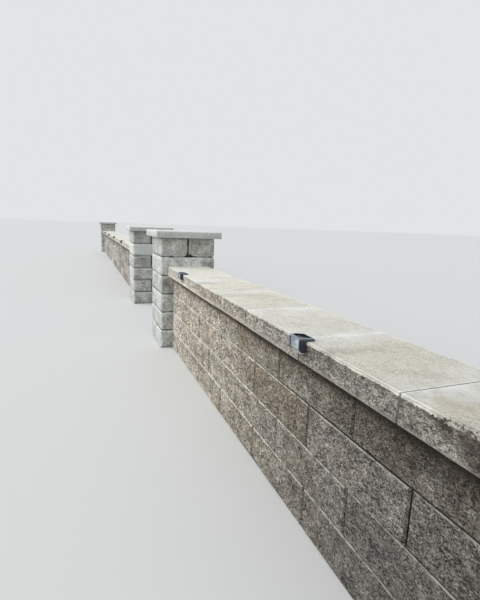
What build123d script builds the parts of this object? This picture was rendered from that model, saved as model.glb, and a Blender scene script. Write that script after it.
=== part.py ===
from build123d import *
import os

# Garden boundary wall of precast concrete blocks, in millimetres.
# X runs along the wall, -Y faces the road, +Y faces the garden and Z is up from the ground.
# The origin is at the centre of the whole wall's footprint, on the ground.

# Wall blocks, laid dry in half bond
block_length = 450
block_height = 150
wall_depth = 250
wall_course_count = 4
block_arris = 4

# Open joint between two neighbours in one course, and the shortest piece a mason would cut
head_joint = 3
shortest_cut = 60

# Coping slabs on the wall
coping_slab_length = 440
coping_width = 330
coping_thickness = 73
coping_arris = 5

# Piers: two blocks a course, turned a quarter each time, under one cap
pier_size = 450
pier_extra_course_count = 2
pier_arris = 8
cap_thickness = 55
cap_overhang = 42
cap_arris = 5

# Lengths along the wall, from the left end pier to the right end pier
left_wall_length = 8550
gateway_width = 1460
right_wall_length = 4360

# First piece beside the gateway pier in each wall: odd courses, even courses, coping
left_first_odd = 225
left_first_even = 450
left_first_slab = 400
right_first_odd = 363
right_first_even = 138
right_first_slab = 386

# Step lamps hooked over the front edge of the coping
lamp_width = 64
lamp_front_depth = 23
lamp_reach_on_coping = 31
lamp_front_rise = 12
lamp_back_rise = 8
lamp_drop = 39
lamp_cheek = 5
lamp_lip_height = 4
lamp_lip_setback = 3
lamp_toe_rise = 13
lamp_toe_run = 8
lens_thickness = 3
lens_setback = 1
lens_top_margin = 6
panel_thickness = 2
panel_rim = 5
lamp_edge = 1

# Lamp places: the first lamp's distance from the gateway pier and the step to the next one,
# as far along the wall as a lamp still has this much coping beyond its middle
left_lamp_first = 1785
left_lamp_step = 1755
right_lamp_first = 500
right_lamp_step = 1652
lamp_end_margin = 200

# Levels
coping_bottom = wall_course_count * block_height
coping_top = coping_bottom + coping_thickness
pier_course_count = wall_course_count + pier_extra_course_count
pier_top = pier_course_count * block_height

# Places along X
overall_length = (
    2 * cap_overhang + 4 * pier_size
    + left_wall_length + gateway_width + right_wall_length
)
left_end_pier_x = -overall_length / 2 + cap_overhang + pier_size / 2
left_wall_end_x = left_end_pier_x + pier_size / 2
left_wall_gate_x = left_wall_end_x + left_wall_length
left_gate_pier_x = left_wall_gate_x + pier_size / 2
right_gate_pier_x = left_gate_pier_x + pier_size + gateway_width
right_wall_gate_x = right_gate_pier_x + pier_size / 2
right_end_pier_x = right_wall_gate_x + right_wall_length + pier_size / 2

coping_front = -coping_width / 2

os.makedirs("parts", exist_ok=True)


def write(piece, name):
    """Label one finished piece and write it under its own name."""
    piece.part.label = name
    export_step(piece.part, f"parts/{name}.step")


def laid_units(length, first, pitch):
    """Low and high end of each unit in a row: a first piece, whole ones, then what is left."""
    joints = [first]
    while joints[-1] + pitch < length - shortest_cut:
        joints.append(joints[-1] + pitch)
    lows = [0] + [joint + head_joint / 2 for joint in joints]
    highs = [joint - head_joint / 2 for joint in joints] + [length]
    return list(zip(lows, highs))


def row_of_boxes(start, direction, units, width, height):
    """Boxes in a row along X, laid from a start towards +X or -X, standing on their plane."""
    for low, high in units:
        with Locations((start + direction * (low + high) / 2, 0, 0)):
            Box(high - low, width, height, align=(Align.CENTER, Align.CENTER, Align.MIN))


def wall_course(name, start, direction, length, first, level):
    """One course of wall blocks, each its own solid, with its face arrises eased."""
    with BuildPart(Plane.XY.offset(level * block_height)) as course:
        row_of_boxes(
            start, direction, laid_units(length, first, block_length), wall_depth, block_height
        )
        upright = course.edges().filter_by(Axis.Z)
        top_edges = course.edges().group_by(Axis.Z)[-1].filter_by(Axis.X)
        chamfer(upright + top_edges, block_arris)
    write(course, f"{name}_course_{level + 1}")


def wall_coping(name, start, direction, length, first):
    """The row of coping slabs on one wall, with eased long top edges."""
    with BuildPart(Plane.XY.offset(coping_bottom)) as coping:
        row_of_boxes(
            start, direction, laid_units(length, first, coping_slab_length),
            coping_width, coping_thickness
        )
        chamfer(coping.edges().group_by(Axis.Z)[-1].filter_by(Axis.X), coping_arris)
    write(coping, f"{name}_coping")


def pier_course(name, centre_x, level):
    """Two pier blocks side by side: across the wall in odd courses, along it in even ones."""
    block_width = (pier_size - head_joint) / 2
    step = block_width + head_joint
    turn = 90 if level % 2 == 0 else 0
    base = Plane((centre_x, 0, level * block_height)).rotated((0, 0, turn))
    with BuildPart(base) as course:
        with GridLocations(0, step, 1, 2):
            Box(
                pier_size, block_width, block_height,
                align=(Align.CENTER, Align.CENTER, Align.MIN)
            )
        chamfer(course.edges(), pier_arris)
    write(course, f"{name}_course_{level + 1}")


def pier_cap(name, centre_x):
    """One square slab that oversails its pier all round."""
    cap_size = pier_size + 2 * cap_overhang
    with BuildPart(Plane((centre_x, 0, pier_top))) as cap:
        Box(
            cap_size, cap_size, cap_thickness,
            align=(Align.CENTER, Align.CENTER, Align.MIN)
        )
        chamfer(cap.edges().group_by(Axis.Z)[-1], cap_arris)
        chamfer(cap.edges().filter_by(Axis.Z), cap_arris)
    write(cap, f"{name}_cap")


# One step lamp, centred on X = 0 and hooked over the coping's front edge.
# Its profile is drawn in the YZ plane: the front, the top sloping down to the back, and the toe.
lamp_front = coping_front - lamp_front_depth
lamp_back = coping_front + lamp_reach_on_coping
lamp_top_front = coping_top + lamp_front_rise
lamp_top_back = coping_top + lamp_back_rise
lamp_top_slope = (lamp_top_back - lamp_top_front) / (lamp_back - lamp_front)
lamp_foot = coping_top - lamp_drop
cheek_foot = lamp_foot + lamp_lip_height
toe_top = cheek_foot + lamp_toe_rise
toe_back = lamp_front + lamp_toe_run
lens_front = lamp_front + lens_setback
lens_top = lamp_top_front - lens_top_margin
lens_toe_back = toe_back + lens_setback

with BuildPart() as lens:
    with BuildSketch(Plane.YZ) as window_profile:
        with BuildLine():
            Polyline(
                (lens_front, lens_top),
                (lens_front, toe_top),
                (lens_toe_back, cheek_foot),
                (lens_toe_back + lens_thickness, cheek_foot),
                (lens_front + lens_thickness, toe_top),
                (lens_front + lens_thickness, lens_top),
                close=True
            )
        make_face()
    extrude(amount=lamp_width / 2 - lamp_cheek, both=True)
    with BuildSketch(Plane.YZ) as lip_profile:
        with BuildLine():
            Polyline(
                (toe_back, cheek_foot),
                (toe_back, lamp_foot),
                (coping_front - lamp_lip_setback, lamp_foot),
                (coping_front - lamp_lip_setback, cheek_foot),
                close=True
            )
        make_face()
    extrude(amount=lamp_width / 2, both=True)

panel_front = lamp_front + panel_rim
panel_back = lamp_back - panel_rim
panel_top_front = lamp_top_front + lamp_top_slope * panel_rim
panel_top_back = lamp_top_back - lamp_top_slope * panel_rim

with BuildPart() as panel:
    with BuildSketch(Plane.YZ) as panel_profile:
        with BuildLine():
            Polyline(
                (panel_front, panel_top_front),
                (panel_back, panel_top_back),
                (panel_back, panel_top_back - panel_thickness),
                (panel_front, panel_top_front - panel_thickness),
                close=True
            )
        make_face()
    extrude(amount=lamp_width / 2 - panel_rim, both=True)

with BuildPart() as housing:
    with BuildSketch(Plane.YZ) as hook_profile:
        with BuildLine():
            Polyline(
                (lamp_front, lamp_top_front),
                (lamp_back, lamp_top_back),
                (lamp_back, coping_top),
                (coping_front, coping_top),
                (coping_front, cheek_foot),
                (toe_back, cheek_foot),
                (lamp_front, toe_top),
                close=True
            )
        make_face()
    extrude(amount=lamp_width / 2, both=True)
    top_face = housing.faces().sort_by(Axis.Z)[-1]
    chamfer(top_face.edges(), lamp_edge)
    # Recess for the lens, open to the front between the two cheeks
    with BuildSketch(Plane.YZ) as recess_profile:
        with BuildLine():
            Polyline(
                (lamp_front, lens_top),
                (lens_front + lens_thickness, lens_top),
                (lens_front + lens_thickness, toe_top),
                (lens_toe_back + lens_thickness, cheek_foot),
                (toe_back, cheek_foot),
                (lamp_front, toe_top),
                close=True
            )
        make_face()
    extrude(amount=lamp_width / 2 - lamp_cheek, both=True, mode=Mode.SUBTRACT)
    add(panel.part, mode=Mode.SUBTRACT)


def lamp_row(name, start, direction, length, first, step):
    """Copies of the lamp's three pieces along one wall, each kind in its own node."""
    steps_that_fit = int((length - lamp_end_margin - first) // step)
    places = [
        (start + direction * (first + step * index), 0, 0) for index in range(steps_that_fit + 1)
    ]
    for kind, pattern in (("housings", housing), ("lenses", lens), ("panels", panel)):
        with BuildPart() as row:
            with Locations(*places):
                add(pattern.part)
        write(row, f"{name}_lamp_{kind}")


# Both walls are laid out from their gateway pier: the left one towards -X, the right one towards +X
for level in range(wall_course_count):
    is_odd_course = level % 2 == 0
    left_first = left_first_odd if is_odd_course else left_first_even
    right_first = right_first_odd if is_odd_course else right_first_even
    wall_course("left_wall", left_wall_gate_x, -1, left_wall_length, left_first, level)
    wall_course("right_wall", right_wall_gate_x, 1, right_wall_length, right_first, level)

wall_coping("left_wall", left_wall_gate_x, -1, left_wall_length, left_first_slab)
wall_coping("right_wall", right_wall_gate_x, 1, right_wall_length, right_first_slab)

pier_places = {
    "left_end_pier": left_end_pier_x,
    "left_gate_pier": left_gate_pier_x,
    "right_gate_pier": right_gate_pier_x,
    "right_end_pier": right_end_pier_x,
}
for pier_name, pier_x in pier_places.items():
    for level in range(pier_course_count):
        pier_course(pier_name, pier_x, level)
    pier_cap(pier_name, pier_x)

lamp_row("left_wall", left_wall_gate_x, -1, left_wall_length, left_lamp_first, left_lamp_step)
lamp_row("right_wall", right_wall_gate_x, 1, right_wall_length, right_lamp_first, right_lamp_step)
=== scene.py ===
import math
import random

import bmesh
import bpy
import numpy as np
from mathutils import Matrix, Vector


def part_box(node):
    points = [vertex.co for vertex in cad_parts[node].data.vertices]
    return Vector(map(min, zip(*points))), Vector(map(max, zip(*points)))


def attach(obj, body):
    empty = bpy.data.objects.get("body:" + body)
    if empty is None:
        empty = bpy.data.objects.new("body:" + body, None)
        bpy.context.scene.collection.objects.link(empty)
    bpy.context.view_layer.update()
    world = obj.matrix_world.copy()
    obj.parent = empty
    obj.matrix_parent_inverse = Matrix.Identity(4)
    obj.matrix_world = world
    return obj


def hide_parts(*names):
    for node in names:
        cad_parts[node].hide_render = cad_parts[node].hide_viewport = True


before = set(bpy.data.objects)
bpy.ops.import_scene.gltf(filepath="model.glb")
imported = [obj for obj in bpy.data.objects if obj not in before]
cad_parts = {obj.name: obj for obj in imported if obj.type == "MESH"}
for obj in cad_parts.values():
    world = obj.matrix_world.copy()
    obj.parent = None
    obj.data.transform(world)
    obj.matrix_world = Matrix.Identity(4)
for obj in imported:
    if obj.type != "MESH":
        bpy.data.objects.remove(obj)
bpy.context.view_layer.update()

# Lengths are in metres, in the frame's own axes: the road is at -Y and the garden at +Y

AXES = X, Y, Z = 0, 1, 2
WELD = 0.00002
PARALLEL = 0.999
SQUARE_ON = 0.99
TURNED = 0.1
NEARBY = 0.001
UNWORN = 0.7
BLOCK_SEED = 135859
PIER_SEED = 417

WALLS = ("left_wall", "right_wall")
PIERS = ("left_end_pier", "left_gate_pier", "right_gate_pier", "right_end_pier")
WALL_COURSES = 4
PIER_COURSES = 6

# Split-face wall blocks
BLOCK_ARRIS = 0.006
BLOCK_END_ARRIS = 0.006
BLOCK_NUDGE = 0.0015
BLOCK_FOOT_ARRIS = 0.004
FACE_SETTLE = 0.012
FACE_SETTLE_POWER = 0.6
CHAMFER_SHARE = 0.3
BLOCK_RELIEF = 0.009
PANEL = 0.15
NEAR_FACE_CUTS = 29
NEAR_BACK_CUTS = 9
FAR_FACE_CUTS = 11
FAR_BACK_CUTS = 7
LEFT_CONTRAST = 1.8

# Coping slabs
MARGIN = 0.006
MARGIN_STRIP = 0.014
SLAB_END_ARRIS = 0.001
SLAB_FOOT_STRIP = 0.008
SLAB_NUDGE = 0.002
SLAB_CORNER = 0.0025
SLAB_RELIEF = 0.012
MARGIN_RELIEF = 0.6
NEAR_SLAB_CELL = 0.004
FAR_SLAB_CELL = 0.012
FOOT_SETTLE = 0.012
FOOT_RELIEF = 0.12
END_SETTLE = 0.008
END_RELIEF = 0.4
END_RIM = 0.009
NEAR_END_RUN = 0.11
LIP_FADE = 0.015
ROUGH_AT_LIP = 0.3
ROUGH_MARGIN = 0.28
BITTEN_FROM = 5.925
BITTEN_RUN = 0.03

# Dark weathering on the road side of the coping, from the gateway pier: place, half width, strength
COPING_STAINS = ((2.765, 0.035, 0.4), (2.30, 0.03, 0.35), (1.35, 0.03, 0.3), (0.93, 0.04, 0.35))
STAIN_FOOT = 0.618
STAIN_FADE = 0.025
DRIP_OFFSETS = (-0.010, 0.016)
DRIP_HALF_WIDTH = 0.0035
DRIP_TOP = 0.004
DRIP_STRENGTH = 0.8

# Pier blocks and caps
TUMBLE = 0.010
PALE_COURSES = ("left_gate_pier_course_5",)
BROKEN_CORNERS = {"right_gate_pier_course_6": ((1, 0.04, -1), 0.045, 0.022)}
PIER_CELL = 0.014
PIER_NUDGE = 0.002
PIER_TWIST = 0.008
PIER_RELIEF = 0.015
CAP_ARRIS = 0.004
CAP_CELL = 0.02
CAP_RELIEF = 0.01

# Step lamps
LAMP_CHEEK = 0.005
LAMP_RIM = 0.005
LAMP_SILL = 0.0015
LAMP_TOE_RISE = 0.013
LAMP_TOE_RUN = 0.008
LENS_RECESS = 0.004
LENS_INSET = 0.0014
LENS_SEAT = 0.0002
LAMP_TOP_BAND = 0.006
LAMP_TOP_FALL = 0.34
LAMP_PANEL_THICKNESS = 0.002
CELL_THICKNESS = 0.0012
PANEL_RECESS = 0.0045
LAMP_EDGE = 0.0009


# Selection and shaping helpers


def deselect_everything():
    if bpy.context.object and bpy.context.object.mode != "OBJECT":
        bpy.ops.object.mode_set(mode="OBJECT")
    bpy.ops.object.select_all(action="DESELECT")


def make_active(piece):
    deselect_everything()
    piece.select_set(True)
    bpy.context.view_layer.objects.active = piece


def edit(piece):
    make_active(piece)
    bpy.ops.object.mode_set(mode="EDIT")


def leave_edit():
    bpy.ops.object.mode_set(mode="OBJECT")


def pick(piece, kind, wanted):
    """Select, in edit mode, the faces or the edges that pass a test."""
    bpy.ops.mesh.select_mode(type=kind)
    bpy.ops.mesh.select_all(action="DESELECT")
    mesh = bmesh.from_edit_mesh(piece.data)
    for part in mesh.faces if kind == "FACE" else mesh.edges:
        if wanted(part):
            part.select_set(True)
    bmesh.update_edit_mesh(piece.data)


def pick_faces(piece, wanted):
    pick(piece, "FACE", wanted)


def pick_edges(piece, axis, wanted=lambda middle: True, longer_than=0.0):
    """Select the edges parallel to one axis whose middle passes a test."""
    def passes(edge):
        first, last = (vertex.co for vertex in edge.verts)
        length = (last - first).length
        parallel = abs(last[axis] - first[axis]) > PARALLEL * length
        return parallel and length > longer_than and wanted((first + last) / 2)

    pick(piece, "EDGE", passes)


def pick_all():
    bpy.ops.mesh.select_all(action="SELECT")


def ease(width, segments=1):
    """Bevel the picked edges."""
    bpy.ops.mesh.bevel(offset=width, segments=segments, profile=0.5, affect="EDGES")


def cut_across(axis, place):
    """Cut what is picked along a plane square to one axis."""
    square = [float(axis == other) for other in AXES]
    bpy.ops.mesh.bisect(plane_co=[place * part for part in square], plane_no=square)


def cut_all(axis, *places):
    """Cut the whole piece at each place along one axis."""
    for place in places:
        pick_all()
        cut_across(axis, place)


def extrude(step):
    bpy.ops.mesh.extrude_region_move(TRANSFORM_OT_translate={"value": step})


def box_piece(name, low, high):
    """A cube primitive at its size and place, ready to be shaped."""
    deselect_everything()
    low, high = Vector(low), Vector(high)
    bpy.ops.mesh.primitive_cube_add(size=1, location=(low + high) / 2)
    piece = bpy.context.object
    piece.name = name
    piece.scale = high - low
    bpy.ops.object.transform_apply(location=True, rotation=True, scale=True)
    return piece


def copy_to(pattern, place, turn=0):
    """A copy of a modelled piece with its own mesh, moved to a place and turned about Z."""
    copy = pattern.copy()
    copy.data = pattern.data.copy()
    bpy.context.collection.objects.link(copy)
    copy.rotation_euler = (0, 0, turn)
    copy.location = place
    return copy


def join(name, pieces):
    """Join pieces into one object at the origin."""
    deselect_everything()
    for piece in pieces:
        piece.select_set(True)
    bpy.context.view_layer.objects.active = pieces[0]
    if len(pieces) > 1:
        bpy.ops.object.join()
    joined = bpy.context.object
    joined.name = name
    bpy.ops.object.transform_apply(location=True, rotation=True, scale=True)
    return joined


def drop(piece):
    bpy.data.objects.remove(piece)


def apply_modifier(piece, kind, **settings):
    """Shape a piece by one modifier, and keep the result."""
    make_active(piece)
    modifier = piece.modifiers.new("shaping", kind)
    for key, value in settings.items():
        setattr(modifier, key, value)
    bpy.ops.object.modifier_apply(modifier=modifier.name)


def roughen(piece, group, layers, direction="NORMAL"):
    """Push a vertex group in and out by layers of texture, each with its depth and its level of rest."""
    for texture, depth, rest in layers:
        apply_modifier(
            piece, "DISPLACE", texture=texture, texture_coords="LOCAL", strength=depth,
            mid_level=rest, direction=direction, vertex_group=group
        )


def soften(piece, width):
    """Round every sharp edge a little."""
    apply_modifier(
        piece, "BEVEL", width=width, segments=2, limit_method="ANGLE", angle_limit=math.radians(40)
    )


def smooth(piece, degrees):
    make_active(piece)
    bpy.ops.object.shade_smooth_by_angle(angle=math.radians(degrees))


def weigh(piece, group, weights):
    """Give one vertex group its weight at every vertex."""
    vertex_group = piece.vertex_groups.new(name=group)
    for index, weight in enumerate(weights):
        if weight > 0:
            vertex_group.add([index], float(weight), "REPLACE")


def read_vectors(parts, key):
    vectors = np.empty(len(parts) * 3)
    parts.foreach_get(key, vectors)
    return vectors.reshape(-1, 3)


def vertex_places(piece):
    return read_vectors(piece.data.vertices, "co")


def face_places(piece):
    return read_vectors(piece.data.polygons, "center")


def face_normals(piece):
    return read_vectors(piece.data.polygons, "normal")


def mark(piece, name, values, domain):
    """Keep one value, or a value for each vertex or face, which the materials read."""
    attribute = piece.data.attributes.get(name)
    if attribute is None:
        attribute = piece.data.attributes.new(name, "FLOAT", domain)
    attribute.data.foreach_set("value", np.full(len(attribute.data), values, dtype=np.float32))


def mark_wear(piece, before, depth):
    """Mark how far each vertex has been worn away from where it was."""
    moved = np.linalg.norm(vertex_places(piece) - before, axis=1)
    mark(piece, "relief", np.clip(UNWORN - moved / depth, 0, 1), "POINT")


def edge_nearness(places, low, high, reach):
    """How deep each vertex lies in its box along each axis, and how near it is to one of its edges."""
    low, high = np.array(low), np.array(high)
    inset = (high - low) / 2 - np.abs(places - (low + high) / 2)
    return inset, np.clip(1 - np.sort(inset, axis=1)[:, 1] / reach, 0, 1)


def box_size(low, high):
    return [high[axis] - low[axis] for axis in AXES]


def solid_boxes(node):
    """Lowest and highest corner of each separate solid in a CAD node, in order along X and Y."""
    mesh = bmesh.new()
    mesh.from_mesh(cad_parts[node].data)
    bmesh.ops.remove_doubles(mesh, verts=mesh.verts, dist=WELD)
    seen = set()
    boxes = []
    for start in mesh.verts:
        if start in seen:
            continue
        seen.add(start)
        ahead = [start]
        places = []
        while ahead:
            vertex = ahead.pop()
            places.append(tuple(vertex.co))
            for link in vertex.link_edges:
                other = link.other_vert(vertex)
                if other not in seen:
                    seen.add(other)
                    ahead.append(other)
        places = np.array(places)
        boxes.append((tuple(places.min(0)), tuple(places.max(0))))
    mesh.free()
    return sorted(boxes)


def lay_row(node, kind, model, nudge, dice):
    """Model one piece of each length in a CAD node, and lay copies in the places of its solids."""
    boxes = solid_boxes(node)
    patterns = {}
    laid = []
    for low, high in boxes:
        length, depth, height = (round(span, 4) for span in box_size(low, high))
        if length not in patterns:
            patterns[length] = model(f"{node}_pattern", length, depth, height)
        laid.append(copy_to(patterns[length], (low[X], dice.uniform(-nudge, nudge), low[Z])))
    for pattern in patterns.values():
        drop(pattern)
    return join(f"{node}_{kind}", laid), boxes


def tint_each(row, boxes, dice, contrast=1.0):
    """Give each piece of a row its own tint."""
    tints = np.array([dice.random() for _ in boxes])
    tints = np.clip(0.5 + (tints - 0.5) * contrast, 0, 1)
    starts = [low[X] for low, high in boxes]
    owners = np.searchsorted(starts, face_places(row)[:, X]) - 1
    mark(row, "tint", tints[np.clip(owners, 0, len(boxes) - 1)], "FACE")


# Procedural reliefs


def clouds(name, scale, depth):
    texture = bpy.data.textures.new(name, "CLOUDS")
    texture.noise_scale = scale
    texture.noise_depth = depth
    texture.noise_type = "SOFT_NOISE"
    texture.noise_basis = "ORIGINAL_PERLIN"
    return texture


SWELL = clouds("swell", 0.12, 1)
SPALLS = clouds("spalls", 0.034, 3)
GRAINS = clouds("grains", 0.009, 2)
CHIPS = clouds("chips", 0.022, 3)
KNOCKS = clouds("knocks", 0.045, 2)
SKIN = clouds("skin", 0.05, 2)

# Layers of relief: texture, depth and level of rest
BLOCK_BULGE = ((SWELL, 0.005, 0.5),)
BLOCK_SPLIT = ((SPALLS, 0.010, 0.5), (GRAINS, 0.006, 0.5))
BLOCK_ARRIS_CHIPS = ((CHIPS, 0.011, 0.5),)
SLAB_SPLIT = ((SPALLS, 0.010, 0.62), (CHIPS, 0.012, 0.6), (GRAINS, 0.006, 0.55))
SLAB_BRINK = ((KNOCKS, 0.014, 0.5), (CHIPS, 0.016, 0.5), (GRAINS, 0.006, 0.5))
SLAB_BITES = ((KNOCKS, 0.016, 0.5), (CHIPS, 0.016, 0.5))
PIER_WEAR = ((KNOCKS, 0.028, 0.72), (CHIPS, 0.012, 0.65))
PIER_SKIN = ((SKIN, 0.006, 0.7),)
CAP_WEAR = ((KNOCKS, 0.006, 0.9),)
CAP_SKIN = ((SKIN, 0.0012, 1.0),)


# Wall blocks


def model_wall_block(name, length, depth, height, face_cuts, back_cuts):
    """One block standing on the origin: eased arrises, and a gridded face on each side."""
    block = box_piece(name, (0, -depth / 2, 0), (length, depth / 2, height))
    edit(block)
    pick_edges(block, Z)
    ease(BLOCK_END_ARRIS)
    pick_edges(block, X, lambda m: m.z > height / 2 and abs(m.y) > depth / 2 - WELD)
    ease(BLOCK_ARRIS, 2)
    pick_edges(block, X, lambda m: m.z < height / 4)
    ease(BLOCK_FOOT_ARRIS)
    panels = max(1, round(length / PANEL))
    for side, cuts in ((-1, face_cuts), (1, back_cuts)):
        for index in range(1, panels):
            pick_faces(block, lambda f: f.normal.y * side > SQUARE_ON)
            cut_across(X, length * index / panels)
        pick_faces(block, lambda f: f.normal.y * side > SQUARE_ON)
        bpy.ops.mesh.subdivide(number_cuts=cuts)
    leave_edit()
    endwise, outward, upward = face_normals(block).T
    upright = np.abs(endwise) > TURNED
    faces_out = np.abs(outward) > TURNED
    bed = (upward > 0.7) | (upward < -TURNED)
    mark(block, "arris", faces_out & (upward > TURNED) & (upward < 0.97), "FACE")
    mark(block, "joint", bed & ~upright, "FACE")
    mark(block, "upright_joint", np.where(upright & faces_out, CHAMFER_SHARE, upright), "FACE")
    x, y, z = vertex_places(block).T
    on_face = np.abs(np.abs(y) - depth / 2) < WELD
    inset = np.minimum.reduce([
        x - BLOCK_END_ARRIS,
        length - BLOCK_END_ARRIS - x,
        z - BLOCK_FOOT_ARRIS,
        height - BLOCK_ARRIS - z,
    ])
    weigh(block, "split_face", on_face * np.clip(inset / FACE_SETTLE, 0, 1) ** FACE_SETTLE_POWER)
    arris_line = np.abs(z - (height - BLOCK_ARRIS)) < WELD
    weigh(block, "arris_line", arris_line & on_face & (inset > -WELD))
    return block


def wall_course(node, face_cuts, back_cuts, dice):
    """The blocks of one course, split on both faces, in place of the CAD node."""
    course, boxes = lay_row(
        node, "blocks", lambda *block: model_wall_block(*block, face_cuts, back_cuts), BLOCK_NUDGE, dice
    )
    roughen(course, "split_face", BLOCK_BULGE)
    swollen = vertex_places(course)
    roughen(course, "split_face", BLOCK_SPLIT)
    roughen(course, "arris_line", BLOCK_ARRIS_CHIPS, "Z")
    raised = np.abs(vertex_places(course)[:, Y]) - np.abs(swollen[:, Y])
    mark(course, "relief", np.clip(0.5 + raised / BLOCK_RELIEF, 0, 1), "POINT")
    tint_each(course, boxes, dice, LEFT_CONTRAST if node.startswith("left") else 1.0)
    smooth(course, 35)
    finish_piece(course, "wall_block", node)


# Coping slabs


def model_slab(name, length, width, height, cell):
    """One coping slab standing on the origin: a smooth top, and rough sides split off raggedly."""
    slab = box_piece(name, (0, -width / 2, 0), (length, width / 2, height))
    edit(slab)
    pick_edges(slab, Z)
    ease(SLAB_CORNER)
    pick_edges(slab, Y, lambda m: m.z > height / 2)
    ease(SLAB_END_ARRIS)
    pick_edges(slab, X, lambda m: m.z > height / 2)
    ease(MARGIN, 3)
    strip = width / 2 - MARGIN - MARGIN_STRIP
    cut_all(Y, -strip, strip)
    pick_edges(slab, X)
    bpy.ops.mesh.subdivide(number_cuts=round(length / cell))
    pick_edges(slab, Z, lambda m: abs(m.y) > width / 2 - SLAB_CORNER * 1.2, height / 2)
    bpy.ops.mesh.subdivide(number_cuts=round(height / cell))
    leave_edit()
    x, y, z = vertex_places(slab).T
    away = np.abs(y)
    on_side = away > width / 2 - WELD
    in_margin = ~on_side & (away > width / 2 - MARGIN - WELD)
    brink = in_margin & (z > height - WELD)
    end = np.minimum(x, length - x)
    settle = np.clip(END_RELIEF + (end - SLAB_CORNER) / END_SETTLE, 0, 1)
    off_foot = np.clip(FOOT_RELIEF + (z - SLAB_FOOT_STRIP) / FOOT_SETTLE, FOOT_RELIEF, 1)
    weigh(slab, "split_edge", (on_side * off_foot + MARGIN_RELIEF * in_margin * ~brink) * settle)
    weigh(slab, "brink", brink * settle)
    below_lip = np.clip(ROUGH_AT_LIP + (height - MARGIN - z) / LIP_FADE, 0, 1)
    mark(slab, "rough_side", on_side * below_lip + ROUGH_MARGIN * in_margin - 0.1 * brink, "POINT")
    mark(slab, "slab_end", np.clip(1 - (end - SLAB_END_ARRIS) / END_RIM, 0, 1), "POINT")
    mark(slab, "near_end", np.clip(1 - end / NEAR_END_RUN, 0, 1), "POINT")
    endwise = np.abs(face_normals(slab)[:, X])
    mark(slab, "joint", np.where(endwise > 0.95, 1.0, 0.4 * (endwise > 0.3)), "FACE")
    return slab


def wall_coping(node, cell, dice):
    """The coping slabs of one wall, in place of the CAD node."""
    coping, boxes = lay_row(node, "slabs", lambda *slab: model_slab(*slab, cell), SLAB_NUDGE, dice)
    flat = vertex_places(coping)
    x, y, z = flat.T
    roughen(coping, "split_edge", SLAB_SPLIT)
    roughen(coping, "brink", SLAB_BRINK, "Y")
    brink = (np.abs(z - z.max()) < WELD) & (np.abs(y - y.min() - MARGIN) < 2 * SLAB_NUDGE + WELD)
    weigh(coping, "bitten_brink", brink * np.clip((x - BITTEN_FROM) / BITTEN_RUN, 0, 1))
    roughen(coping, "bitten_brink", SLAB_BITES, "Y")
    sunk = np.abs(y) - np.abs(vertex_places(coping)[:, Y])
    mark(coping, "relief", np.clip(UNWORN - sunk / SLAB_RELIEF, 0, 1), "POINT")
    mark(coping, "darken_by", stains_on(flat, node), "POINT")
    tint_each(coping, boxes, dice)
    smooth(coping, 45)
    finish_piece(coping, "coping_slab", node)


def stains_on(places, node):
    """How dark each vertex of the coping is stained: long patches, and drips below each lamp."""
    x, y, z = places.T
    darken_by = np.zeros(len(places))
    on_front = y < 0
    if node.startswith("right"):
        upper = np.clip((z - STAIN_FOOT) / STAIN_FADE, 0, 1)
        for place, half_width, strength in COPING_STAINS:
            spread = np.exp(-((x - x.min() - place) / half_width) ** 2)
            darken_by = np.maximum(darken_by, strength * spread * on_front * upper)
    for low, high in solid_boxes(node.replace("coping", "lamp_housings")):
        under = on_front & (z < low[Z] + DRIP_TOP)
        for offset in DRIP_OFFSETS:
            spread = np.exp(-((x - (low[X] + high[X]) / 2 - offset) / DRIP_HALF_WIDTH) ** 2)
            darken_by = np.maximum(darken_by, DRIP_STRENGTH * spread * under)
    return darken_by


# Pier blocks and caps


def grid_round(piece, size, cell):
    """Cut every long edge into cells along each axis in turn, all the way round the piece."""
    for axis in AXES:
        pick_edges(piece, axis, longer_than=size[axis] / 2)
        bpy.ops.mesh.subdivide(number_cuts=max(1, round(size[axis] / cell) - 1))


def model_tumbled_block(name, size):
    """One tumbled pier block with its foot centred on the origin: rounded edges and a gridded skin."""
    length, width, height = size
    low, high = (-length / 2, -width / 2, 0), (length / 2, width / 2, height)
    block = box_piece(name, low, high)
    edit(block)
    pick_all()
    ease(TUMBLE, 3)
    grid_round(block, size, PIER_CELL)
    leave_edit()
    places = vertex_places(block)
    inset, edge = edge_nearness(places, low, high, TUMBLE * 2)
    from_end, from_face, from_bed = inset.T
    bed = from_bed < WELD
    to_neighbour = width / 2 - places[:, Y]
    below = np.minimum(from_end, from_face) - from_bed
    beside = np.minimum(from_end, from_bed) - to_neighbour
    joint = np.clip(0.1 + np.maximum(below, beside) / TUMBLE, 0, 1)
    weigh(block, "worn_edge", edge * (1 - 0.4 * bed))
    weigh(block, "skin", ~bed)
    mark(block, "arris", edge * (1 - joint), "POINT")
    mark(block, "joint", joint, "POINT")
    return block


def break_corner(course, node, away, radius, depth):
    """Knock one corner off a course, where the photograph shows it broken."""
    low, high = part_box(node)
    centre = (low + high) / 2
    half = (high - low) / 2
    corner = np.array([centre[axis] + away[axis] * half[axis] for axis in AXES])
    distance = np.linalg.norm(vertex_places(course) - corner, axis=1)
    weigh(course, "broken_corner", np.clip(1 - distance / radius, 0, 1))
    for axis, name in enumerate("XYZ"):
        step = -depth if away[axis] > 0 else depth
        roughen(course, "broken_corner", ((None, step * abs(away[axis]), 0.0),), name)


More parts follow.
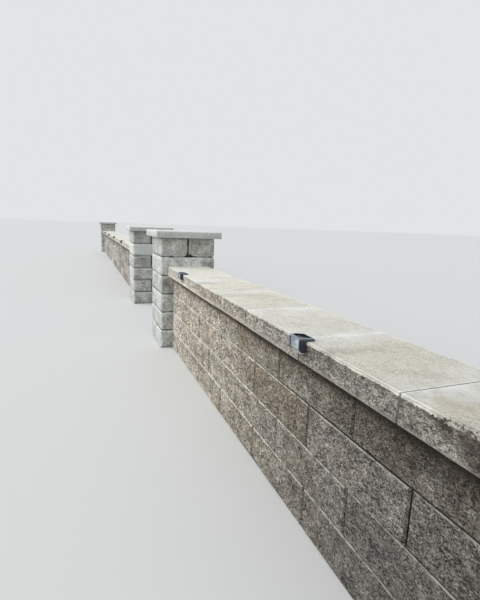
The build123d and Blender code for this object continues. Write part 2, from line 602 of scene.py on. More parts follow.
def pier_course(node, dice):
    """The two tumbled blocks of one pier course, in place of the CAD node."""
    boxes = solid_boxes(node)
    span = box_size(*boxes[0])
    quarter = -math.pi / 2 if span[Y] > span[X] else 0
    pattern = model_tumbled_block(f"{node}_pattern", (max(span[:2]), min(span[:2]), span[Z]))
    blocks = []
    for (low, high), half_turn in zip(boxes, (0, math.pi)):
        nudge = (dice.uniform(-PIER_NUDGE, PIER_NUDGE), dice.uniform(-PIER_NUDGE, PIER_NUDGE))
        place = ((low[X] + high[X]) / 2 + nudge[X], (low[Y] + high[Y]) / 2 + nudge[Y], low[Z])
        twist = dice.uniform(-PIER_TWIST, PIER_TWIST)
        blocks.append(copy_to(pattern, place, quarter + half_turn + twist))
    drop(pattern)
    for block in blocks:
        mark(block, "tint", dice.random(), "FACE")
    course = join(f"{node}_blocks", blocks)
    flat = vertex_places(course)
    roughen(course, "worn_edge", PIER_WEAR)
    roughen(course, "skin", PIER_SKIN)
    if node in BROKEN_CORNERS:
        break_corner(course, node, *BROKEN_CORNERS[node])
    mark_wear(course, flat, PIER_RELIEF)
    mark(course, "pale", node in PALE_COURSES, "FACE")
    smooth(course, 50)
    finish_piece(course, "pier_block", node)


def pier_cap(node, dice):
    """One cast cap with softened edges and a few small chips, in place of the CAD node."""
    (low, high), = solid_boxes(node)
    cap = box_piece(f"{node}_slab", low, high)
    edit(cap)
    pick_all()
    ease(CAP_ARRIS, 3)
    grid_round(cap, box_size(low, high), CAP_CELL)
    leave_edit()
    flat = vertex_places(cap)
    edge = edge_nearness(flat, low, high, CAP_ARRIS * 2)[1]
    weigh(cap, "worn_edge", edge)
    weigh(cap, "skin", np.ones(len(flat)))
    roughen(cap, "worn_edge", CAP_WEAR)
    roughen(cap, "skin", CAP_SKIN)
    mark_wear(cap, flat, CAP_RELIEF)
    mark(cap, "arris", edge, "POINT")
    mark(cap, "tint", dice.random(), "FACE")
    smooth(cap, 40)
    finish_piece(cap, "pier_cap", node)


# Step lamps


def model_lamp_housing(low, high, slab_front, slab_top, name):
    """The hook-shaped housing: a top plate, a front box with its toe set back, and two recesses."""
    housing = box_piece(name, (low[X], low[Y], slab_top), high)
    middle_x = (low[X] + high[X]) / 2
    half = (high[X] - low[X]) / 2 - LAMP_CHEEK
    back_drop = (high[Z] - slab_top) * LAMP_TOP_FALL
    sill = low[Z] + LAMP_SILL
    band = high[Z] - LAMP_TOP_BAND
    edit(housing)
    cut_all(Y, slab_front)
    pick_faces(housing, lambda f: f.normal.z < -0.9 and f.calc_center_median().y < slab_front)
    extrude((0, 0, low[Z] - slab_top))
    cut_all(Z, low[Z] + LAMP_TOE_RISE, band)
    pick_edges(housing, X, lambda m: m.z < low[Z] + WELD and m.y < low[Y] + WELD)
    bpy.ops.transform.translate(value=(0, LAMP_TOE_RUN, 0))
    pick_edges(housing, X, lambda m: m.z > high[Z] - WELD and m.y > high[Y] - WELD)
    bpy.ops.transform.translate(value=(0, 0, -back_drop))
    cut_all(X, middle_x - half, middle_x + half)
    cut_all(Z, sill)

    def in_window(face):
        centre = face.calc_center_median()
        return face.normal.y < -0.5 and abs(centre.x - middle_x) < half and sill < centre.z < band

    pick_faces(housing, in_window)
    extrude((0, LENS_RECESS, 0))
    pick_faces(housing, lambda f: f.normal.z > 0.9 and f.calc_center_median().z > slab_top + 2 * NEARBY)
    bpy.ops.mesh.inset(thickness=LAMP_RIM, depth=0)
    extrude((0, 0, -PANEL_RECESS))
    leave_edit()
    soften(housing, LAMP_EDGE)
    upward = face_normals(housing)[:, Z]
    x, y, z = face_places(housing).T
    fallen = back_drop * (y - low[Y]) / (high[Y] - low[Y])
    on_rim = (upward > 0.3) & (z > high[Z] - fallen - PANEL_RECESS / 2)
    outside = (np.abs(x - middle_x) > half + LAMP_CHEEK * 0.8) | (y < low[Y] + NEARBY)
    # Marks for a painted highlight on the rim and the cheeks' top band, and for painted shade in the wells
    mark(housing, "rim", np.where(on_rim, 1.0, 0.6 * (outside & (z > band))), "FACE")
    in_well = ~outside & ~on_rim & (z > slab_top + NEARBY) & (y > low[Y] + LAMP_RIM / 2)
    mark(housing, "shaded_well", in_well, "FACE")
    return housing


def model_lamp_lens(low, high, housing_low, housing_high, name):
    """The front window, bent back at its toe, and the lip that runs below it."""
    front = housing_low[Y] + LENS_INSET
    back = housing_low[Y] + LENS_RECESS + LENS_SEAT
    foot = housing_low[Z] + LAMP_SILL
    bend = housing_low[Z] + LAMP_TOE_RISE
    top = housing_high[Z] - LAMP_TOP_BAND
    window = box_piece(
        name, (low[X] + LAMP_CHEEK, front, foot), (high[X] - LAMP_CHEEK, back, top)
    )
    edit(window)
    cut_all(Z, bend)
    pick_edges(window, X, lambda m: m.z < foot + WELD)
    slant = LAMP_TOE_RUN * (bend - foot) / (bend - housing_low[Z])
    bpy.ops.transform.translate(value=(0, slant, 0))
    leave_edit()
    lip = box_piece(
        name, (low[X], housing_low[Y] + LAMP_TOE_RUN, low[Z]), (high[X], high[Y] - NEARBY, housing_low[Z])
    )
    soften(lip, LAMP_EDGE)
    for piece, is_lip in ((window, 0.0), (lip, 1.0)):
        mark(piece, "across", (vertex_places(piece)[:, X] - low[X]) / (high[X] - low[X]), "POINT")
        mark(piece, "lip", np.maximum(is_lip, face_normals(piece)[:, Z] < -0.2), "FACE")
    return join(name, [window, lip])


def model_lamp_panel(low, high, name):
    """The dark cell in the top, lying in its recess and tilted with the top."""
    foot = high[Z] - PANEL_RECESS
    panel = box_piece(name, (low[X], low[Y], foot), (high[X], high[Y], foot + CELL_THICKNESS))
    edit(panel)
    pick_edges(panel, X, lambda m: m.y > high[Y] - WELD)
    bpy.ops.transform.translate(value=(0, 0, low[Z] + LAMP_PANEL_THICKNESS - high[Z]))
    leave_edit()
    return panel


def lamp_row(wall):
    """Model one lamp of a wall and repeat it at the place of each of its lamps."""
    housings, lenses, panels = (
        solid_boxes(f"{wall}_lamp_{kind}") for kind in ("housings", "lenses", "panels")
    )
    coping_low, coping_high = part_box(f"{wall}_coping")
    first = housings[0]
    housing = model_lamp_housing(*first, coping_low.y, coping_high.z, f"{wall}_housing_pattern")
    lens = model_lamp_lens(*lenses[0], *first, f"{wall}_lens_pattern")
    panel = model_lamp_panel(*panels[0], f"{wall}_panel_pattern")
    patterns = (
        ("housings", "lamp_housing", housing),
        ("lenses", "lamp_lens", lens),
        ("panels", "lamp_panel", panel),
    )
    for kind, slot, pattern in patterns:
        row = [copy_to(pattern, (low[X] - first[0][X], 0, 0)) for low, high in housings]
        drop(pattern)
        lamps = join(f"{wall}_step_lamp_{kind}", row)
        smooth(lamps, 30)
        finish_piece(lamps, slot, f"{wall}_lamp_{kind}")


# Materials

# Where looks change along the wall: the gateway is at 1.4 to 2.8, the near blocks at 4.9 to 6.1
LEFT_OF_GATEWAY = (1.4, 0.8)
WALL_PAINTED_SHADE = (3.6, 5.8)
JOINT_LOOK_CHANGES = (4.0, 5.4)
NEAR_BLOCKS = (4.9, 5.9)
COPING_TOP_PAINTED_SHADE = (4.2, 6.4)
COPING_SIDE_PAINTED_SHADE = (4.4, 5.6)
BITTEN = (BITTEN_FROM, BITTEN_FROM + BITTEN_RUN)
PAST_THE_PICTURE = (6.4, 7.5)
NEAR_SLAB = 6
NEAR_JOINT = solid_boxes("right_wall_coping")[NEAR_SLAB][0][X]

# And up it: the courses end at 0.15, 0.30, 0.45 and 0.60, the coping at 0.673
LOWER_COURSES = (0.32, 0.28)
UPPER_COURSES = (0.28, 0.34)
UNDER_EAVES = (0.50, 0.575)
DEEP_UNDER_EAVES = (0.545, 0.568)
COPING_FOOT = (0.611, 0.606)
COPING_UNDERSIDE = (0.604, 0.601)
COPING_UPPER_SIDE = (0.646, 0.658)
UNDER_BRINK = (0.655, 0.662)
LIP_TOP = (0.6725, 0.6715)
LIP = (0.6712, 0.6702)
BITTEN_LIP = (0.6728, 0.6705)
CAP_TOP = (0.949, 0.953)

# Stains and painted shade: places, reaches, and colours that are multiplied in
WALL_STAINS = ((5.07, -0.125, 0.42), (5.36, -0.125, 0.53), (5.07, -0.125, 0.13), (5.85, -0.125, 0.53))
SIDE_STAINS = (
    ((5.990, -0.160, 0.656), 0.030, (0.42, 0.37, 0.27, 1.0)),
    ((6.085, -0.160, 0.645), 0.078, (0.40, 0.33, 0.31, 1.0)),
)
TOP_STAIN = (5.943, -0.100, 0.673)
BROWN_WASH = (0.66, 0.58, 0.46, 1.0)
EAVES_PAINTED_SHADOW = (0.66, 0.62, 0.57, 1.0)
EAVES_PAINTED_DEEP_SHADOW = (0.19, 0.16, 0.13, 1.0)
TOP_PAINTED_SHADE_TONE = (0.65, 0.64, 0.62, 1.0)
LIP_DUST_AND_SHADE = (0.58, 0.56, 0.52, 1.0)
SIDE_PAINTED_SHADE_TONE = (0.48, 0.475, 0.455, 1.0)
SIDE_PATCHES = (0.38, 0.36, 0.32, 1.0)
END_PIER_PAINTED_SHADE = 0.62
END_CAP_PAINTED_SHADE = 0.78

SPLIT_SLANT = math.radians(12)
SPLIT_RUN = 1.6
PORE_CONTRAST = 2.5


class Nodes:
    """A node tree under construction: adds nodes and links them by name."""

    def __init__(self, tree):
        self.tree = tree

    def node(self, kind, settings=(), **inputs):
        made = self.tree.nodes.new("ShaderNode" + kind)
        for key, value in dict(settings).items():
            setattr(made, key, value)
        for key, value in inputs.items():
            self.feed(made.inputs[key.replace("_", " ")], value)
        return made

    def feed(self, socket, value):
        if isinstance(value, bpy.types.NodeSocket):
            self.tree.links.new(value, socket)
        else:
            socket.default_value = value

    def axes(self, vector):
        return self.node("SeparateXYZ", Vector=vector).outputs

    def ramp(self, value, low, high, start=0.0, end=1.0):
        """Map a value from one range to another, clamped."""
        made = self.node("MapRange", Value=value, From_Min=low, From_Max=high, To_Min=start, To_Max=end)
        return made.outputs["Result"]

    def maths(self, operation, first, second=0.5, third=0.0):
        made = self.node("Math", {"operation": operation})
        for socket, value in zip(made.inputs, (first, second, third)):
            self.feed(socket, value)
        return made.outputs[0]

    def times(self, first, *others):
        for other in others:
            first = self.maths("MULTIPLY", first, other)
        return first

    def seen(self):
        """1 on the rays that show a thing in the picture, straight, in a gloss or through glass."""
        ray = self.node("LightPath").outputs
        seen = self.maths("MAXIMUM", ray["Is Camera Ray"], ray["Is Glossy Ray"])
        return self.maths("MAXIMUM", seen, ray["Is Transmission Ray"])


class Mix(Nodes):
    """A material under construction, with the colour laid on so far."""

    def __init__(self, name):
        self.material = bpy.data.materials.new(name)
        self.material.use_nodes = True
        super().__init__(self.material.node_tree)
        self.surface = self.tree.nodes["Principled BSDF"].inputs
        self.coordinates = self.node("TexCoord").outputs["Object"]
        self.x, self.y, self.z = self.axes(self.coordinates)

    def __getitem__(self, name):
        """A mark kept on the piece."""
        return self.node("Attribute", {"attribute_name": name}).outputs["Fac"]

    def along(self, *span):
        """A ramp along the wall."""
        return self.ramp(self.x, *span)

    def up(self, *span):
        """A ramp up the wall."""
        return self.ramp(self.z, *span)

    def noise(self, scale, detail=4.0, roughness=0.55, where=None):
        made = self.node(
            "TexNoise", Vector=where or self.coordinates,
            Scale=scale, Detail=detail, Roughness=roughness
        )
        return made.outputs["Fac"]

    def drawn_out(self, along):
        """Coordinates in which a pattern is longer along the wall than it is high."""
        made = self.node(
            "Mapping", Vector=self.coordinates,
            Rotation=(0, SPLIT_SLANT, 0), Scale=(1 / along, 1, 1)
        )
        return made.outputs["Vector"]

    def blend(self, amount, first, second, mode="MIX"):
        made = self.node("Mix", {"data_type": "RGBA", "blend_type": mode}, Factor=amount)
        self.feed(made.inputs[6], first)
        self.feed(made.inputs[7], second)
        return made.outputs[2]

    def start(self, amount, first, second):
        """The first colour, between two tones."""
        self.colour = self.blend(amount, first, second)

    def lay(self, amount, colour, mode="MIX"):
        """Lay a colour over what is there."""
        self.colour = self.blend(amount, self.colour, colour, mode)

    def darken_by(self, amount, colour):
        """Multiply the colour by another, for stains and for painted shade."""
        self.lay(amount, colour, "MULTIPLY")

    def shade(self, amount, factor):
        """Multiply the colour down."""
        self.darken_by(amount, (factor, factor, factor, 1.0))

    def tune(self, **changes):
        """Change the colour's value or saturation."""
        made = self.node("HueSaturation", Color=self.colour, **changes)
        self.colour = made.outputs[0]

    def brighten(self, factor, darkest, lightest):
        factor = self.maths("MINIMUM", self.maths("MAXIMUM", factor, darkest), lightest)
        self.tune(Value=factor)

    def mottle(self, scale, darks, lights, strength):
        """Cloud the colour softly towards a darker and a lighter one."""
        clouding = self.noise(scale, 4.0, 0.6)
        self.lay(self.ramp(clouding, 0.49, 0.34, 0.0, strength), darks)
        self.lay(self.ramp(clouding, 0.51, 0.66, 0.0, strength), lights)

    def grain(self, layers, darkest, lightest, where=None):
        """Brighten and darken the colour by several sizes of grain, each with its own strength."""
        factor = 1.0
        for scale, strength in layers:
            wave = self.maths("SUBTRACT", self.noise(scale, 2.5, 0.6, where), 0.5)
            factor = self.maths("MULTIPLY_ADD", wave, strength, factor)
        self.brighten(factor, darkest, lightest)

    def hollow(self, pores):
        """Darken the colour in the pores that the bump sinks, and brighten it on the grains between:
        painted shade and painted highlight.
        """
        wave = self.maths("SUBTRACT", pores, 0.5)
        self.brighten(self.maths("MULTIPLY_ADD", wave, PORE_CONTRAST, 1.0), 0.12, 2.2)

    def blotch(self, centre, radius, fray, colour, mode="MULTIPLY", strength=1.0):
        """One frayed patch of stain round a place."""
        away = self.node("VectorMath", {"operation": "DISTANCE"})
        self.feed(away.inputs[0], self.coordinates)
        self.feed(away.inputs[1], centre)
        spread = self.maths("MULTIPLY_ADD", self.noise(45.0, 4.0, 0.65), fray, away.outputs["Value"])
        self.lay(self.ramp(spread, radius + 0.57 * fray, radius, 0.0, strength), colour, mode)

    def rise_and_fall_along(self, start, end):
        """Rises along the right wall up to the photograph's near blocks, and falls again past its edge."""
        return self.times(self.along(start, end), self.along(*PAST_THE_PICTURE, 1.0, 0.5))

    def bump(self, height, distance, under=None):
        made = self.node("Bump", Height=height, Distance=distance, Strength=1.0)
        if under is not None:
            self.feed(made.inputs["Normal"], under)
        return made.outputs["Normal"]

    def finish(self, roughness, normal=None):
        self.feed(self.surface["Base Color"], self.colour)
        self.feed(self.surface["Roughness"], roughness)
        if normal is not None:
            self.feed(self.surface["Normal"], normal)
        return self.material

    def finish_porous(self, pores, sunk, grit, smoothest, roughest, grit_scale=480.0):
        """Finish with fine grit over the sunk pores, rougher where the pores stand high."""
        normal = self.bump(self.noise(grit_scale, 3.0, 0.7), grit, sunk)
        return self.finish(self.ramp(pores, 0.3, 0.7, smoothest, roughest), normal)


def tone(red, green, blue):
    """A colour written as it looks on screen, from 0 to 255, as linear light."""
    def linear(value):
        value /= 255
        return value / 12.92 if value <= 0.04045 else ((value + 0.055) / 1.055) ** 2.4
    return (linear(red), linear(green), linear(blue), 1.0)


def split_face_concrete():
    """Warm grey-brown concrete split on its face, with painted shade on the road side towards the right
    end.
    """
    mix = Mix("split_face_concrete")
    tint = mix["tint"]
    second = mix.maths("FRACT", mix.times(tint, 7.3))
    mix.start(tint, tone(228, 219, 206), tone(166, 150, 127))
    mix.lay(mix.ramp(second, 0.5, 0.7, 0, 0.6), tone(195, 188, 173))
    mix.mottle(2.6, tone(152, 134, 106), tone(214, 207, 194), 0.5)
    mix.mottle(13, tone(146, 134, 114), tone(218, 212, 200), 0.4)
    split = mix.drawn_out(SPLIT_RUN)
    pores = mix.noise(150, 5, 0.75, split)
    gritty = mix.along(5.5, 4.7, 4, 4.9)
    mix.grain(((20, 1.5), (55, 1.6), (140, gritty), (360, 7.8)), 0.12, 2.8, split)
    coarse = mix.along(4.8, 3.4, 0.4, 1.8)
    mix.grain(((36, coarse),), 0.3, 2)
    # Painted shade in the pores and where the split face is sunk, and a painted highlight on the grains
    # and where it stands proud
    mix.hollow(pores)
    relief = mix["relief"]
    mix.shade(mix.ramp(relief, 0.5, 0.1), 0.5)
    mix.lay(mix.ramp(relief, 0.6, 0.95, 0, 0.4), tone(232, 225, 212))
    # Painted shade on the road side, darker towards the near blocks and on their lower courses, brown
    # stains, and greying of the near blocks
    road_side = mix.ramp(mix.y, 0, -0.1)
    mix.shade(mix.times(mix.rise_and_fall_along(*WALL_PAINTED_SHADE), road_side), 0.31)
    near = mix.rise_and_fall_along(*NEAR_BLOCKS)
    mix.shade(mix.times(near, mix.up(*LOWER_COURSES), road_side), 0.8)
    for place in WALL_STAINS:
        mix.blotch(place, 0.03, 0.09, BROWN_WASH, strength=0.8)
    greying = mix.up(*UPPER_COURSES, -0.52, -0.42)
    warmth = mix.times(mix.along(3.6, 4.8, 0.9, 1.2), mix.along(0.9, 1.4, 0.7, 1))
    mix.tune(Saturation=mix.maths("MULTIPLY_ADD", mix.times(near, road_side), greying, warmth))
    # Arrises as broken pale lines, partly wear and partly a painted highlight, dimmer up under the coping
    # and on the near blocks, where painted shade falls
    wear_and_highlight = mix.ramp(mix.noise(30, 4, 0.75), 0.4, 0.54)
    wear_and_highlight = mix.maths("MAXIMUM", wear_and_highlight, mix.along(4.6, 5.4, 0.5, 0.2))
    low_down = mix.up(0.46, 0.29, 0.75, 0.92)
    arris_highlight = mix.blend(near, tone(246, 241, 230), tone(176, 172, 164))
    mix.lay(mix.times(mix["arris"], wear_and_highlight, low_down), arris_highlight)
    mix.shade(mix.along(4.4, 3.2), 0.97)
    mix.shade(mix.along(*LEFT_OF_GATEWAY), 0.76)
    # Joints with painted shadow in the bed joints, and painted shadow under the coping
    # Painted shadow in the bed joints, deepest on the near blocks and in the upper joints
    along = mix.along(*JOINT_LOOK_CHANGES, 0.15, 1)
    upward = mix.up(0.29, 0.46, 0.85, 1)
    mix.shade(mix.times(mix["joint"], along, upward), 0.06)
    open_joint = mix.along(*JOINT_LOOK_CHANGES, 1.2, 0.84)
    mix.shade(mix.times(mix["upright_joint"], open_joint), 0.2)
    # Painted shadow under the coping: a soft band, and a dark line close under it
    mix.darken_by(mix.up(*UNDER_EAVES), EAVES_PAINTED_SHADOW)
    mix.darken_by(mix.up(*DEEP_UNDER_EAVES), EAVES_PAINTED_DEEP_SHADOW)
    return mix.finish_porous(pores, mix.bump(pores, 0.005), 0.0008, 0.82, 0.97, 520)


def coping_top(mix, tint, whole_lip):
    """The cream cast top: in painted shade towards the near end, washed towards each joint, with its
    groove in painted shade, a painted highlight along the brink, and its pale lip.
    """
    mix.start(tint, tone(237, 234, 222), tone(229, 224, 208))
    mix.mottle(4, tone(208, 201, 183), tone(238, 237, 230), 0.35)
    mix.grain(((14, 0.45), (60, 0.45), (240, 1.4)), 0.6, 1.14)
    mix.shade(mix.ramp(mix.noise(75, 2, 0.5), 0.27, 0.2), 0.72)
    stains = mix.ramp(mix.noise(3.1, 6, 0.68), 0.58, 0.74)
    mix.lay(mix.times(stains, 0.35), tone(196, 188, 170))
    # Painted shade, darker towards the near end
    mix.darken_by(mix.rise_and_fall_along(*COPING_TOP_PAINTED_SHADE), TOP_PAINTED_SHADE_TONE)
    washed = mix.ramp(mix.noise(7, 3), 0.4, 0.6, 0.2, 0.6)
    rained = mix.along(NEAR_JOINT - WELD, NEAR_JOINT + WELD, 0.8, 1.5)
    mix.lay(mix.times(washed, mix["near_end"], rained), tone(238, 240, 241))
    mix.blotch(TOP_STAIN, 0.045, 0.07, tone(178, 166, 146), "MIX", 0.6)
    across = mix.maths("ABSOLUTE", mix.y)
    # Painted shade of a fine groove along the top, which is not modelled, on the near slabs
    groove = mix.maths("ABSOLUTE", mix.maths("SUBTRACT", across, 0.15))
    groove = mix.ramp(groove, 0.0014, 0.0004)
    mix.shade(mix.times(groove, mix.along(5.2, 5.7, 0, 0.7)), 0.6)
    rolled = mix.times(mix.up(*LIP_TOP), whole_lip)
    lip = mix.times(mix.up(*LIP), whole_lip)
    broken = mix.ramp(mix.noise(48, 4, 0.7), 0.4, 0.52, 0.25, 1)
    # A painted highlight along the brink, broken here and there
    brink_highlight = mix.maths("SUBTRACT", mix.ramp(across, 0.1535, 0.1555, 0, 0.6), rolled)
    brink_highlight = mix.maths("MAXIMUM", brink_highlight, 0)
    mix.lay(mix.times(brink_highlight, broken, whole_lip), tone(246, 243, 234))
    # Dust and painted shade on the band between the top's edge and the pale lip
    mix.darken_by(mix.maths("SUBTRACT", rolled, lip), LIP_DUST_AND_SHADE)
    mix.lay(mix.times(lip, 0.75), tone(230, 225, 212))
    # Painted shade on the sloped lip of the bitten stretch
    bitten = mix.ramp(whole_lip, 1, 0)
    mix.shade(mix.times(mix.up(*BITTEN_LIP), bitten), 0.84)
    limed = mix.ramp(mix.noise(60, 4, 0.7), 0.4, 0.55, 0.4, 1)
    limed = mix.times(limed, mix.along(5.9, 5.5, 0.5, 1))
    mix.lay(mix.times(mix["slab_end"], limed), tone(255, 253, 245))


def coping_side(mix, tint, split, pores):
    """The rough split side: warm and clean by the gateway, with a painted sheen there; grey, patched and
    in painted shade nearer.
    """
    warm = mix.blend(tint, tone(208, 198, 184), tone(182, 171, 154))
    cool = mix.blend(tint, tone(214, 213, 206), tone(194, 191, 182))
    mix.start(mix.along(4.8, 6), warm, cool)
    mix.mottle(12, tone(142, 131, 114), tone(222, 217, 206), 0.4)
    mix.grain(((22, 1.3), (55, 1.6), (140, 3.4), (330, 6)), 0.2, 2.4, split)
    # Painted shade in the pores and where the split side is sunk, and a painted highlight where it stands
    # proud
    mix.hollow(pores)
    relief = mix["relief"]
    mix.shade(mix.ramp(relief, 0.5, 0.05), 0.4)
    mix.lay(mix.ramp(relief, 0.6, 0.8, 0, 0.4), tone(236, 233, 224))
    patches = mix.ramp(mix.noise(26, 4, 0.7), 0.42, 0.52)
    patches = mix.times(patches, mix.along(5.90, 5.96))
    mix.darken_by(mix.times(mix.up(*COPING_UPPER_SIDE), patches), SIDE_PATCHES)
    for place, reach, colour in SIDE_STAINS:
        mix.blotch(place, reach, 0.06, colour)
    # Painted shade in the crumbled notches just under the brink
    crumbled = mix.ramp(mix.noise(60, 4, 0.7), 0.40, 0.52)
    mix.shade(mix.times(mix.up(*UNDER_BRINK), crumbled), 0.5)
    # The formed foot, partly its own paler tone and partly a painted highlight, and a painted highlight on
    # the underside's edge
    formed_and_lit = mix.ramp(mix.noise(2.4, 2), 0.42, 0.56, 0.15, 0.6)
    mix.lay(mix.times(mix.up(*COPING_FOOT), formed_and_lit), tone(218, 206, 190))
    mix.lay(mix.up(*COPING_UNDERSIDE, 0, 0.5), tone(236, 230, 218))
    # Painted shade on the road side, darker towards the near end
    road_side = mix.ramp(mix.y, 0, -0.1)
    mix.darken_by(mix.times(mix.rise_and_fall_along(*COPING_SIDE_PAINTED_SHADE), road_side), SIDE_PAINTED_SHADE_TONE)
    # Painted sheen, lighter towards the far end
    mix.lay(mix.along(4.3, 3.5, 0, 0.28), tone(230, 229, 221))


def coping_concrete():
    """A smooth cream cast top over a rough grey side, which meet in a ragged line."""
    mix = Mix("coping_concrete")
    tint = mix["tint"]
    split = mix.drawn_out(SPLIT_RUN)
    pores = mix.noise(150, 5, 0.75, split)
    whole_lip = mix.along(BITTEN_FROM + 2 * BITTEN_RUN, BITTEN_FROM)
    coping_top(mix, tint, whole_lip)
    top = mix.colour
    coping_side(mix, tint, split, pores)
    marked = mix["rough_side"]
    ragged = mix.maths("SUBTRACT", mix.noise(140, 3, 0.7), 0.5)
    ragged = mix.times(ragged, mix.along(*BITTEN, 0.6, 1.6))
    bites = mix.ramp(mix.noise(75, 4, 0.7), 0.47, 0.56)
    bites = mix.times(mix.maths("MULTIPLY_ADD", bites, 0.4, -0.12), mix.ramp(whole_lip, 1, 0))
    rough = mix.maths("ADD", mix.maths("ADD", marked, ragged), bites)
    rough = mix.maths("MAXIMUM", mix.ramp(rough, 0.35, 0.6), mix.ramp(marked, 0.9, 1))
    rough = mix.times(rough, mix.ramp(marked, 0, 0.1))
    mix.start(rough, top, mix.colour)
    open_joint = mix.along(5.5, 5.9, 0.2, 1)
    mix.shade(mix.times(mix["joint"], open_joint), 0.4)
    seeped = mix.ramp(mix.noise(50, 4, 0.7), 0.42, 0.54, 0.1, 1)
    mix.lay(mix.times(mix["darken_by"], seeped), tone(78, 64, 54))
    sunk = mix.bump(mix.times(pores, mix.ramp(marked, 0.3, 0.7, 0.03, 1)), 0.006)
    return mix.finish_porous(pores, sunk, 0.0004, 0.62, 0.85)


def tumbled_concrete():
    """Grey tumbled pier blocks, paler along their edges, partly by wear and partly as a painted highlight,
    dark in their joints, and in painted light on their faces towards the road.
    """
    mix = Mix("tumbled_concrete")
    mix.start(mix["tint"], tone(224, 226, 221), tone(184, 183, 175))
    mix.mottle(8, tone(160, 156, 146), tone(240, 241, 237), 0.5)
    mix.grain(((18, 1.4), (60, 1.5), (170, 1.7)), 0.3, 1.5)
    # Painted shade where the worn edges are knocked in
    mix.shade(mix.ramp(mix["relief"], 0.45, 0.05), 0.75)
    # Pale edges: partly wear, partly a painted highlight
    mix.lay(mix.times(mix["arris"], 0.8), tone(248, 249, 244))
    mix.lay(mix.times(mix["pale"], 0.8), tone(248, 252, 248))
    # Painted light on the faces towards the road, with their joints less dark
    facing = mix.axes(mix.node("NewGeometry").outputs["Normal"])
    road_face_painted_light = mix.ramp(facing["Y"], -0.4, -0.9)
    mix.lay(mix.times(road_face_painted_light, 0.35), tone(214, 216, 210))
    dark_joint = mix.ramp(mix["joint"], 0.7, 1)
    mix.shade(mix.times(dark_joint, mix.ramp(road_face_painted_light, 0, 1, 1, 0.75)), 0.2)
    # Painted shade on the right end pier, to go with the wall's
    mix.shade(mix.along(*PAST_THE_PICTURE), END_PIER_PAINTED_SHADE)
    pores = mix.noise(90, 5, 0.7)
    return mix.finish_porous(pores, mix.bump(pores, 0.005), 0.0007, 0.78, 0.93)


def cap_concrete():
    """Smooth light grey cast caps, with a painted highlight on their edges and top, and painted shade on
    the right end cap.
    """
    mix = Mix("cap_concrete")
    mix.start(mix["tint"], tone(218, 222, 218), tone(210, 213, 208))
    mix.mottle(9, tone(190, 191, 185), tone(230, 232, 229), 0.4)
    mix.grain(((40, 0.6), (180, 0.8)), 0.5, 1.2)
    # A painted highlight on the edges and the top
    mix.lay(mix.times(mix["arris"], 0.6), tone(240, 242, 239))
    mix.lay(mix.up(*CAP_TOP, 0, 0.7), tone(236, 238, 234))
    # Painted shade on the right end cap, to go with the wall's
    mix.shade(mix.along(*PAST_THE_PICTURE), END_CAP_PAINTED_SHADE)
    pores = mix.noise(120, 5, 0.65)
    return mix.finish(mix.ramp(pores, 0.3, 0.7, 0.65, 0.85), mix.bump(pores, 0.0015))


def lamp_plastic():
    """Blue-grey moulded housing, with a painted highlight on its rim and painted shade in its wells."""
    mix = Mix("lamp_plastic")
    dust = mix.ramp(mix.noise(180, 4), 0.45, 0.7, 0, 0.5)
    mix.start(dust, tone(60, 62, 75), tone(86, 89, 100))
    mix.lay(mix["rim"], tone(156, 167, 174))
    mix.lay(mix["shaded_well"], tone(24, 26, 31))
    return mix.finish(0.42, mix.bump(mix.noise(900, 2), 0.0002))


def lamp_diffuser():
    """Milky blue-white front window and lip, the window in painted light, darker at its left end."""
    mix = Mix("lamp_diffuser")
    clouding = mix.maths("MULTIPLY_ADD", mix.noise(90, 3), 1.4, -0.7)
    lit = mix.maths("ADD", mix["across"], clouding)
    mix.start(mix.ramp(lit, 0.15, 0.85), tone(112, 124, 140), tone(194, 202, 208))
    mix.lay(mix["lip"], tone(190, 200, 194))
    return mix.finish(0.25)


def lamp_cell():
    """Near-black solar cell under clear resin."""
    mix = Mix("lamp_cell")
    grid = mix.node(
        "TexWave", {"wave_type": "BANDS", "bands_direction": "X"},
        Vector=mix.coordinates, Scale=55.0
    )
    mix.start(mix.ramp(grid.outputs["Fac"], 0.94, 0.99, 0, 0.5), tone(6, 8, 10), tone(18, 22, 26))
    mix.surface["Specular IOR Level"].default_value = 0.08
    return mix.finish(0.6)


FINISHES = {
    "wall_block": split_face_concrete(),
    "coping_slab": coping_concrete(),
    "pier_block": tumbled_concrete(),
    "pier_cap": cap_concrete(),
    "lamp_housing": lamp_plastic(),
    "lamp_lens": lamp_diffuser(),
    "lamp_panel": lamp_cell(),
}


def finish_piece(piece, slot, *nodes):
    """Give a piece its material, its slot and its place in the frame."""
    piece.data.materials.clear()
    piece.data.materials.append(FINISHES[slot])
    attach(piece, "root")
    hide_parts(*nodes)


# The stage: floor, light and camera

FLOOR_SIZE = 400
FLOOR_LIT = (128, 128, 126)
FLOOR_SEEN = (222, 222, 220)
SKY_LIGHT = (240, 244, 248)
SKY_SEEN = (226, 228, 230)

# Light: the sky at its horizon and overhead, its lean towards the road, and the soft light
SKY_AT_HORIZON = 0.56
SKY_OVERHEAD = 0.82
SKY_LEAN = 0.45
SOFT_LIGHT = 1.7
SOFT_LIGHT_ANGLE = 70
SOFT_LIGHT_AIM = (0.25, 0.85, -0.6)

# Camera facts, solved from the joints of the near wall and the piers
CAMERA_BEYOND_GATE_PIER = 3.240
CAMERA_OFF_WALL_FACE = 0.675
CAMERA_HEIGHT = 1.020
CAMERA_TURN = 0.3714
CAMERA_DIP = 0.1816
CAMERA_ROLL = 0.0377
FOCAL_PIXELS = 407.2
PHOTO_HEIGHT = 600
SENSOR = 36.0


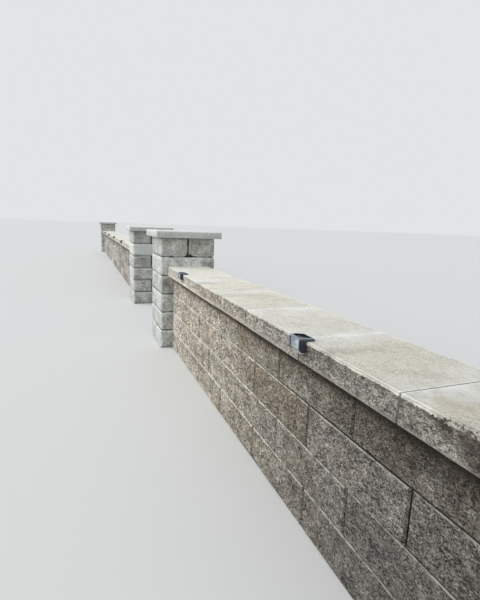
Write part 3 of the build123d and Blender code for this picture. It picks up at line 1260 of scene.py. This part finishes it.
def make_floor():
    """A floor pale to the camera, and mid grey to the light that it bounces back on the wall."""
    mix = Mix("floor_paint")
    mix.start(mix.seen(), tone(*FLOOR_LIT), tone(*FLOOR_SEEN))
    deselect_everything()
    bpy.ops.mesh.primitive_plane_add(size=FLOOR_SIZE)
    floor = bpy.context.object
    floor.name = "floor"
    floor.data.materials.append(mix.finish(0.9))


def make_sky():
    """An overcast sky, brighter overhead than at the horizon, behind a pale backdrop."""
    world = bpy.data.worlds.new("sky")
    bpy.context.scene.world = world
    world.use_nodes = True
    sky = Nodes(world.node_tree)
    sky.tree.nodes.clear()
    facing = sky.axes(sky.node("TexCoord").outputs["Generated"])
    overhead = sky.ramp(facing["Z"], 0.0, 1.0, SKY_AT_HORIZON, SKY_OVERHEAD)
    towards_road = sky.ramp(facing["Y"], 1.0, -1.0, 1 - SKY_LEAN, 1 + SKY_LEAN)
    strength = sky.times(overhead, towards_road)
    light = sky.node("Background", Color=tone(*SKY_LIGHT), Strength=strength)
    backdrop = sky.node("Background", Color=tone(*SKY_SEEN), Strength=1.0)
    shown = sky.node("MixShader", Fac=sky.seen())
    sky.feed(shown.inputs[1], light.outputs[0])
    sky.feed(shown.inputs[2], backdrop.outputs[0])
    sky.node("OutputWorld", Surface=shown.outputs[0])


def make_soft_light():
    """A very wide soft light from over the road."""
    deselect_everything()
    bpy.ops.object.light_add(type="SUN", location=(0, -4, 6))
    light = bpy.context.object
    light.name = "soft_light"
    light.data.energy = SOFT_LIGHT
    light.data.angle = math.radians(SOFT_LIGHT_ANGLE)
    light.rotation_mode = "QUATERNION"
    light.rotation_quaternion = Vector(SOFT_LIGHT_AIM).to_track_quat("-Z", "Y")


def make_camera():
    """The photograph's camera, turned from the wall's line, dipped and rolled a little."""
    wall_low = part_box("right_wall_course_1")[0]
    deselect_everything()
    bpy.ops.object.camera_add()
    camera = bpy.context.object
    camera.name = "photo_camera"
    camera.data.sensor_width = SENSOR
    camera.data.lens = FOCAL_PIXELS / PHOTO_HEIGHT * SENSOR
    camera.data.clip_start = 0.02
    camera.data.clip_end = 500
    camera.location = (
        wall_low.x + CAMERA_BEYOND_GATE_PIER,
        wall_low.y - CAMERA_OFF_WALL_FACE,
        CAMERA_HEIGHT,
    )
    ahead = Vector((
        -math.cos(CAMERA_TURN) * math.cos(CAMERA_DIP),
        math.sin(CAMERA_TURN) * math.cos(CAMERA_DIP),
        -math.sin(CAMERA_DIP),
    ))
    right = ahead.cross(Vector((0, 0, 1))).normalized()
    up = right.cross(ahead)
    rolled_right = math.cos(CAMERA_ROLL) * right + math.sin(CAMERA_ROLL) * up
    rolled_up = -math.sin(CAMERA_ROLL) * right + math.cos(CAMERA_ROLL) * up
    camera.rotation_mode = "QUATERNION"
    turned = Matrix((rolled_right, rolled_up, -ahead)).transposed()
    camera.rotation_quaternion = turned.to_quaternion()
    bpy.context.scene.camera = camera


def build():
    dice = random.Random(BLOCK_SEED)
    for wall in WALLS:
        near = wall == "right_wall"
        face_cuts = NEAR_FACE_CUTS if near else FAR_FACE_CUTS
        back_cuts = NEAR_BACK_CUTS if near else FAR_BACK_CUTS
        for level in range(1, WALL_COURSES + 1):
            wall_course(f"{wall}_course_{level}", face_cuts, back_cuts, dice)
        wall_coping(f"{wall}_coping", NEAR_SLAB_CELL if near else FAR_SLAB_CELL, dice)
        lamp_row(wall)
    dice = random.Random(PIER_SEED)
    for pier in PIERS:
        for level in range(1, PIER_COURSES + 1):
            pier_course(f"{pier}_course_{level}", dice)
        pier_cap(f"{pier}_cap", dice)


build()
make_floor()
make_sky()
make_soft_light()
make_camera()
bpy.context.scene.view_settings.view_transform = "Standard"
